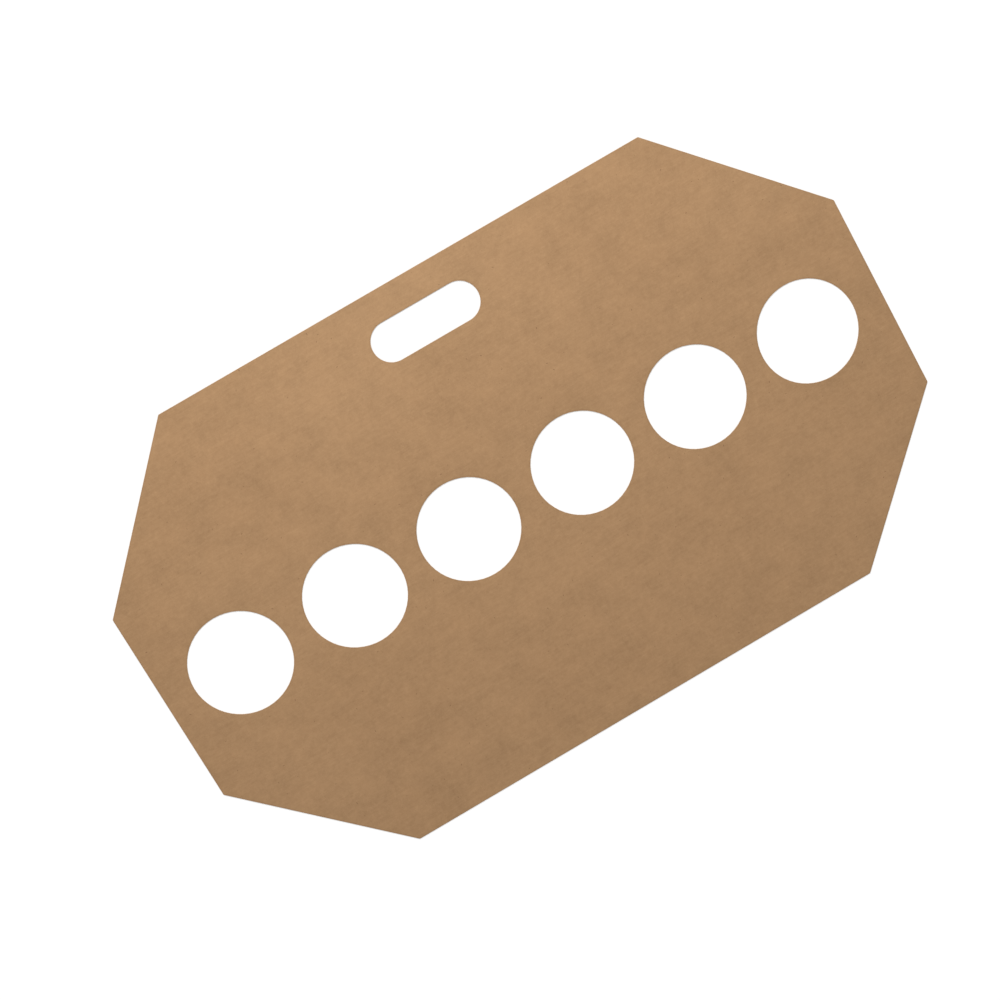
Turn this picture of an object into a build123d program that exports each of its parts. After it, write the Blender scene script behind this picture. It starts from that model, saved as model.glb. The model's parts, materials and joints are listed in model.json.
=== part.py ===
from build123d import *
import os

# Flat cup carrier, die cut from one sheet of kraft board.
# Millimetres. The sheet lies on its underside, with the origin under its middle:
# +X runs along the row of cup holes, +Y points to the hand slot and +Z up out of the board.

# Board
board_thickness = 0.6
edge_roll = 0.12  # round that the cutting rule leaves where it enters the board

# Cup holes, in one row along the middle of the sheet
cup_hole_diameter = 76.5
cup_count = 6
cup_web = 19.0  # board between neighbouring holes
end_margin = 23.0  # board from the last hole of the row to the short edge
wing_width = 145.0  # board from the holes to each long edge

# Corners of the sheet, cut off at 45 degrees, and a little steeper on the side of the hand slot
corner_cut = 105.0
slot_side_cut_along = 104.0  # along the long edge
slot_side_cut_across = 109.5  # along the short edge
corner_radius = 1.5  # bend of the cutting rule

# Hand slot, with full round ends, on the centre line of the sheet
slot_length = 86.0
slot_width = 30.0
slot_margin = 22.5  # board between the slot and the long edge

# Sizes that follow
cup_pitch = cup_hole_diameter + cup_web
half_length = (cup_count - 1) * cup_pitch / 2 + cup_hole_diameter / 2 + end_margin
half_width = cup_hole_diameter / 2 + wing_width
slot_y = half_width - slot_margin - slot_width / 2
right_corners = [
    (half_length - slot_side_cut_along, half_width),
    (half_length, half_width - slot_side_cut_across),
    (half_length, corner_cut - half_width),
    (half_length - corner_cut, -half_width),
]
left_corners = [(-x, y) for x, y in reversed(right_corners)]

with BuildPart() as carrier_sheet:
    with BuildSketch():
        Polygon(*right_corners, *left_corners)
        fillet(vertices(), corner_radius)
        with GridLocations(cup_pitch, 0, cup_count, 1):
            Circle(cup_hole_diameter / 2, mode=Mode.SUBTRACT)
        with Locations((0, slot_y)):
            SlotOverall(slot_length, slot_width, mode=Mode.SUBTRACT)
    extrude(amount=board_thickness)
    upper_face = faces().sort_by(Axis.Z)[-1]
    fillet(upper_face.edges(), edge_roll)

carrier_sheet.part.label = "carrier_sheet"

os.makedirs("parts", exist_ok=True)
export_step(carrier_sheet.part, "parts/carrier_sheet.step")
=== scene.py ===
from collections import namedtuple
import json
import math
import bpy
from mathutils import Matrix, Vector
from mathutils.geometry import convex_hull_2d


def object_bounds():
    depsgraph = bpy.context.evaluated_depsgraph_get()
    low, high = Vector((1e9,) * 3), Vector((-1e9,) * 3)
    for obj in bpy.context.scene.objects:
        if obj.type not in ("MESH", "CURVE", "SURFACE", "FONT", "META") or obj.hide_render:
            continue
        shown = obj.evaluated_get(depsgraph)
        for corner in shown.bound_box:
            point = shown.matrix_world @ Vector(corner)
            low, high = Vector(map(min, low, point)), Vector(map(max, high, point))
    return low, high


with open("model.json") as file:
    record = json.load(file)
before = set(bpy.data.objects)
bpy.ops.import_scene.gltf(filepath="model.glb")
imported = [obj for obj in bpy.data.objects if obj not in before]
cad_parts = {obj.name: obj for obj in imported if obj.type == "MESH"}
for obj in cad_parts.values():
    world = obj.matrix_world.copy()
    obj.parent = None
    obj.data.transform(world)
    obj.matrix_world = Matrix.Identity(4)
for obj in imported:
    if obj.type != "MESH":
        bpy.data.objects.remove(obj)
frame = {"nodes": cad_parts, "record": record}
cad_low, cad_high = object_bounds()
sheet = frame["nodes"]["carrier_sheet"]
mounts = frame["record"]["mounts"]

# Metres throughout. The sheet lies on the plane Z = 0, with +X along its row of cup holes and
# +Y towards its hand slot.

# Camera, at the photograph's viewing angle
photo_side = 1000  # pixels, the photograph is square
photo_focal = 1729  # focal length in those pixels
sensor_width = 36.0  # millimetres
camera_place = Vector((-0.0533, 0.2373, 1.2325))
camera_target = Vector((-0.0177, 0.0072, cad_high.z))
camera_turn = math.radians(29.67)  # from +Y to the picture's upward direction, towards +X
picture_up = Vector((math.sin(camera_turn), math.cos(camera_turn), 0))
picture_left = Vector((-math.cos(camera_turn), math.sin(camera_turn), 0))

# Light. The shares add up to one on the middle of the sheet, so a colour renders as written.
ambient_share = 0.45
key_share = 0.55
key_turn = math.radians(25)  # from the picture's upward direction, towards its left
key_reach = 0.78  # from the middle of the sheet to the spot below the lamp
key_height = 0.84
key_size = 0.80
key_away = math.cos(key_turn) * picture_up + math.sin(key_turn) * picture_left
key_place = key_reach * key_away + Vector((0, 0, key_height))
key_distance = key_place.length
key_spread = (key_size / 2) ** 2  # adds to the distance squared, because the lamp is a wide disk

# Floor
floor_gap = 0.0001
floor_half = 20.0
floor_albedo = 0.80
floor_white = 1.04  # what the camera sees of it away from shadow, with a little to spare

# Colours of the kraft board
board_dark = (0.263, 0.145, 0.065)
board_pale = (0.516, 0.316, 0.165)
board_red = (0.394, 0.207, 0.089)
bark = (0.110, 0.052, 0.024)
most_red = 0.18  # share of the red in the reddest places
red_range = (-0.2, 0.3)  # noise from the least red places to the reddest ones
bark_share = 0.6

# Sizes of the patterns in the board
cloud = 0.120
patch = 0.025
floc = 0.0055
streak = (0.012, 0.0011, 1.0)
layer = (0.0016, 0.0016, 0.00006)
cockle = (0.070, 0.030, 1.0)  # the waves that the board dried with
floc_swing = 0.2  # noise from the mean to the smoothest and to the roughest places
layer_swing = 0.15  # noise from the mean to the darkest and to the palest layers
side_shift = 0.5  # between the patterns of the two faces

# Fibres and specks. Each kind is strewn over uneven cells, of which a share holds one.
Sliver = namedtuple("Sliver", "cell share length width curl shift")
short_fibre = Sliver(
    cell=0.0024, share=0.9, length=0.0022, width=0.00022, curl=160.0, shift=(0.0, 0.0, 0.0)
)
long_fibre = Sliver(
    cell=0.0031, share=0.8, length=0.0034, width=0.00026, curl=120.0, shift=(0.31, 0.17, 0.0)
)
dark_fibre = Sliver(
    cell=0.0028, share=0.8, length=0.0026, width=0.00022, curl=140.0, shift=(0.77, 0.41, 0.0)
)
bark_speck = Sliver(
    cell=0.013, share=0.5, length=0.0010, width=0.0006, curl=300.0, shift=(0.13, 0.93, 0.0)
)
smallest = 3.0  # how many times smaller than these the smallest ones are

# Rims, where the cutting rule pressed the board and left a little torn fibre; the pressed band's
# darkening is partly painted shade
pressed_and_shaded_width = 0.0012
torn = 0.0004
ragged = 0.0012  # how far one unit of noise moves the borders of these two
straight_edge = 0.020  # what is shorter belongs to a rounded corner

# Tone of the board, from dark at zero to pale at one, and what each pattern adds to it
middle_tone = 0.5
cloud_tone = 0.24
patch_tone = 0.36
floc_tone = 0.65
streak_tone = 0.20
fibre_tone = 0.14
# darkening of the band along the cut edges: partly crushed fibre, partly painted shade at the
# edges
pressed_and_shaded_tone = -0.22
torn_tone = 0.50

# Relief and gloss
cockle_height = 0.0004
floc_height = 0.000032
pressed_height = -0.00009
smooth_board = 0.72
rough_board = 0.88
board_specular = 0.25

# Upward part of the normal, on the rounded rim, where the wall's look ends and the face's begins
wall_ends = 0.55
face_begins = 0.95


class Graph:
    """A new node tree, with short calls for the nodes that the materials below are made of."""

    def __init__(self, owner):
        owner.use_nodes = True
        self.tree = owner.node_tree
        self.tree.nodes.clear()

    def add(self, kind, inputs=None, **settings):
        node = self.tree.nodes.new("ShaderNode" + kind)
        for key, value in settings.items():
            setattr(node, key, value)
        for key, value in (inputs or {}).items():
            self.feed(node.inputs[key], value)
        return node

    def feed(self, socket, value):
        if isinstance(value, bpy.types.NodeSocket):
            self.tree.links.new(value, socket)
        else:
            socket.default_value = value

    def math(self, operation, a, b=0.0):
        return self.add("Math", {0: a, 1: b}, operation=operation).outputs[0]

    def vector(self, operation, a, b):
        return self.add("VectorMath", {0: a, 1: b}, operation=operation).outputs

    def parts(self, vector):
        return self.add("SeparateXYZ", {0: vector}).outputs

    def total(self, start, fields):
        """The start value plus each field times its weight."""
        for field, weight in fields:
            inputs = {0: field, 1: weight, 2: start}
            start = self.add("Math", inputs, operation="MULTIPLY_ADD").outputs[0]
        return start

    def ramp(self, value, first, last, start=0.0, end=1.0):
        """Start where the value is first, end where it is last, and a straight way between."""
        inputs = {0: value, 1: first, 2: last, 3: start, 4: end}
        return self.add("MapRange", inputs).outputs[0]

    def blend(self, share, a, b):
        inputs = {"Factor": share, 6: a, 7: b}
        return self.add("Mix", inputs, data_type="RGBA").outputs[2]

    def noise(self, place, size, detail, roughness):
        """Cloudy noise about zero, with features of the given size."""
        if isinstance(size, tuple):
            stretched = {"Vector": place, "Scale": size}
            place = self.add("Mapping", stretched, vector_type="TEXTURE").outputs[0]
            size = 1.0
        inputs = {"Vector": place, "Scale": 1 / size, "Detail": detail, "Roughness": roughness}
        return self.math("SUBTRACT", self.add("TexNoise", inputs).outputs[0], 0.5)

    def from_line(self, along, across, half_length):
        """The distance from a straight line, where along and across start from its middle."""
        past_end = self.math("SUBTRACT", self.math("ABSOLUTE", along), half_length)
        past_end = self.math("MAXIMUM", past_end, 0.0)
        squares = self.total(0.0, [(past_end, past_end), (across, across)])
        return self.math("SQRT", squares)

    def slivers(self, place, kind):
        """One on short curved lines of all angles and sizes, and zero between them."""
        place = self.vector("ADD", place, kind.shift)[0]
        inputs = {"Vector": place, "Scale": 1 / kind.cell}
        cells = self.add("TexVoronoi", inputs, voronoi_dimensions="2D").outputs
        chance = self.add("SeparateColor", {0: cells["Color"]}).outputs
        away = self.vector("SUBTRACT", place, cells["Position"])[0]
        shrink = self.ramp(chance[2], 0.0, kind.share, 1.0, smallest)
        away = self.add("VectorMath", {0: away, "Scale": shrink}, operation="SCALE").outputs[0]
        angle = self.math("MULTIPLY", chance[0], math.pi)
        turned = self.add("VectorRotate", {"Vector": away, "Angle": angle}, rotation_type="Z_AXIS")
        along, across, _ = self.parts(turned.outputs[0])
        curl = self.ramp(chance[1], 0.0, 1.0, -kind.curl, kind.curl)
        bowed = self.total(across, [(self.math("MULTIPLY", along, along), curl)])
        distance = self.from_line(along, bowed, kind.length / 2)
        line = self.ramp(distance, kind.width / 2, kind.width / 4)
        return self.math("MULTIPLY", line, self.math("LESS_THAN", chance[2], kind.share))


def grey(value):
    return (value, value, value, 1.0)


def opaque(rgb):
    return (*rgb, 1.0)


def straight_edges():
    """Each straight edge of the outline: a point on it, and the direction into the board."""
    corners = [vertex.co.xy for vertex in sheet.data.vertices]
    hull = [corners[index] for index in convex_hull_2d(corners)]
    edges = []
    for start, end in zip(hull, hull[1:] + hull[:1]):
        step = end - start
        if step.length > straight_edge:
            edges.append((start, Vector((-step.y, step.x)).normalized()))
    return edges


def rim_distance(g, x, y):
    """How far a point of either face is from the nearest cut edge."""
    distances = []
    for start, inward in straight_edges():
        distances.append(g.total(-inward.dot(start), [(x, inward.x), (y, inward.y)]))
    for mount in mounts:
        dims = mount["dims"]
        if mount["kind"] == "bore":
            radius = dims["r_mm"] / 1000
            half_length = 0.0
        elif mount["name"] == "hand_slot":
            radius = dims["hole_r_mm"] / 1000
            half_length = dims["slot_length_mm"] / 2000 - radius
        else:
            continue
        along = g.math("SUBTRACT", x, mount["pos_m"][0])
        across = g.math("SUBTRACT", y, mount["pos_m"][1])
        distances.append(g.math("SUBTRACT", g.from_line(along, across, half_length), radius))
    nearest = distances[0]
    for distance in distances[1:]:
        nearest = g.math("MINIMUM", nearest, distance)
    return nearest


def board_material():
    """Brown kraft board: cloudy formation, fibres, a few specks of bark, a layered cut edge, and a
    pressed band along the cuts that is darkened partly as painted shade.
    """
    material = bpy.data.materials.new("kraft_board")
    g = Graph(material)
    coordinates = g.add("TexCoord").outputs
    x, y, _ = g.parts(coordinates["Object"])
    facing = g.parts(coordinates["Normal"])[2]
    side = g.math("MULTIPLY", g.math("SIGN", facing), side_shift)
    face = g.add("CombineXYZ", {0: g.math("ADD", x, side), 1: y, 2: side}).outputs[0]

    clouds = g.noise(face, cloud, detail=1.0, roughness=0.5)
    patches = g.noise(face, patch, detail=1.0, roughness=0.6)
    formation = g.noise(face, floc, detail=3.0, roughness=0.9)
    streaks = g.noise(face, streak, detail=1.0, roughness=0.5)
    waves = g.noise(face, cockle, detail=1.0, roughness=0.5)
    redness = g.noise(face, patch, detail=2.0, roughness=0.6)
    layers = g.noise(coordinates["Object"], layer, detail=2.0, roughness=0.6)
    pale_lines = g.math("MAXIMUM", g.slivers(face, short_fibre), g.slivers(face, long_fibre))
    dark_lines = g.slivers(face, dark_fibre)
    specks = g.slivers(face, bark_speck)

    rim = g.total(rim_distance(g, x, y), [(formation, ragged)])
    # The pressed band along the cut edges: it lowers the relief, and it darkens the tone partly
    # for crushed fibre and partly as painted shade.
    pressing_and_shade = g.ramp(rim, pressed_and_shaded_width, 0.0)
    tearing = g.ramp(rim, torn, 0.0)

    tone = g.total(middle_tone, [
        (clouds, cloud_tone),
        (patches, patch_tone),
        (formation, floc_tone),
        (streaks, streak_tone),
        (pale_lines, fibre_tone),
        (dark_lines, -fibre_tone),
        # painted shade along the cut edges, as well as crushed fibre
        (pressing_and_shade, pressed_and_shaded_tone),
        (tearing, torn_tone),
    ])
    skin = g.blend(tone, opaque(board_dark), opaque(board_pale))
    skin = g.blend(g.ramp(redness, *red_range, 0.0, most_red), skin, opaque(board_red))
    skin = g.blend(g.math("MULTIPLY", specks, bark_share), skin, opaque(bark))
    paleness = g.ramp(layers, -layer_swing, layer_swing)
    cut_edge = g.blend(paleness, opaque(board_dark), opaque(board_pale))
    flat = g.ramp(g.math("ABSOLUTE", facing), wall_ends, face_begins)

    relief = g.total(0.0, [
        (waves, cockle_height),
        (formation, floc_height),
        (pressing_and_shade, pressed_height),
    ])
    bump = g.add("Bump", {"Strength": 1.0, "Distance": 1.0, "Height": relief}).outputs[0]
    surface = {
        "Base Color": g.blend(flat, cut_edge, skin),
        "Roughness": g.ramp(formation, -floc_swing, floc_swing, smooth_board, rough_board),
        "Specular IOR Level": board_specular,
        "Normal": bump,
    }
    shader = g.add("BsdfPrincipled", surface)
    g.add("OutputMaterial", {"Surface": shader.outputs[0]})
    return material


def seen_directly(g):
    """One for rays from the camera, and for those that a glossy or clear surface passes on."""
    path = g.add("LightPath").outputs
    shiny = g.math("MAXIMUM", path["Is Glossy Ray"], path["Is Transmission Ray"])
    return g.math("MAXIMUM", path["Is Camera Ray"], shiny)


def key_light_on_floor(g):
    """The lamp's light on the floor, on the scale where the middle of the sheet has key_share."""
    to_lamp = g.vector("SUBTRACT", tuple(key_place), g.add("NewGeometry").outputs["Position"])[0]
    ahead = g.vector("DOT_PRODUCT", to_lamp, tuple(key_place.normalized()))["Value"]
    square = g.vector("DOT_PRODUCT", to_lamp, to_lamp)["Value"]
    fading = g.math("DIVIDE", ahead, g.total(0.0, [(square, g.math("ADD", square, key_spread))]))
    return g.math("MULTIPLY", fading, key_share * key_distance * (key_distance ** 2 + key_spread))


def floor_material():
    """A pale floor. The camera sees it as white, with the sheet's shadow on it."""
    material = bpy.data.materials.new("studio_floor")
    g = Graph(material)
    matt = g.add("BsdfDiffuse", {"Color": grey(floor_albedo)}).outputs[0]
    unlit = floor_white - floor_albedo * ambient_share
    missing = g.total(unlit, [(key_light_on_floor(g), -floor_albedo)])
    missing = g.math("MAXIMUM", missing, 0.0)
    glow = g.add("Emission", {"Color": grey(1.0), "Strength": missing}).outputs[0]
    white = g.add("AddShader", {0: matt, 1: glow}).outputs[0]
    shown = g.add("MixShader", {0: seen_directly(g), 1: matt, 2: white}).outputs[0]
    g.add("OutputMaterial", {"Surface": shown})
    return material


def make_floor():
    mesh = bpy.data.meshes.new("floor")
    corners = [(-1, -1), (1, -1), (1, 1), (-1, 1)]
    points = [(x * floor_half, y * floor_half, -floor_gap) for x, y in corners]
    mesh.from_pydata(points, [], [(0, 1, 2, 3)])
    mesh.materials.append(floor_material())
    floor = bpy.data.objects.new("floor", mesh)
    bpy.context.scene.collection.objects.link(floor)


def make_world():
    world = bpy.data.worlds.new("studio")
    g = Graph(world)
    ambient = g.add("Background", {"Color": grey(1.0), "Strength": ambient_share}).outputs[0]
    white = g.add("Background", {"Color": grey(1.0), "Strength": 1.0}).outputs[0]
    shown = g.add("MixShader", {0: seen_directly(g), 1: ambient, 2: white}).outputs[0]
    g.add("OutputWorld", {"Surface": shown})
    bpy.context.scene.world = world


def add_aimed(name, data, place, target, up):
    """Adds a lamp or camera that looks from place to target, with up as the top of its view."""
    back = (place - target).normalized()
    right = up.cross(back).normalized()
    turn = Matrix((right, back.cross(right), back)).transposed().to_4x4()
    thing = bpy.data.objects.new(name, data)
    thing.matrix_world = Matrix.Translation(place) @ turn
    bpy.context.scene.collection.objects.link(thing)
    return thing


def make_key_light():
    lamp = bpy.data.lights.new("key", "AREA")
    lamp.shape = "DISK"
    lamp.size = key_size
    slant = key_height / key_distance
    lamp.energy = key_share * math.pi ** 2 * (key_distance ** 2 + key_spread) / slant
    add_aimed("key", lamp, key_place, Vector((0, 0, 0)), Vector((0, 0, 1)))


def make_camera():
    lens = bpy.data.cameras.new("camera")
    lens.sensor_width = sensor_width
    lens.lens = sensor_width * photo_focal / photo_side
    camera = add_aimed("camera", lens, camera_place, camera_target, picture_up)
    bpy.context.scene.camera = camera


sheet.data.materials.clear()
sheet.data.materials.append(board_material())

make_floor()
make_world()
make_key_light()
make_camera()
bpy.context.scene.view_settings.view_transform = "Standard"
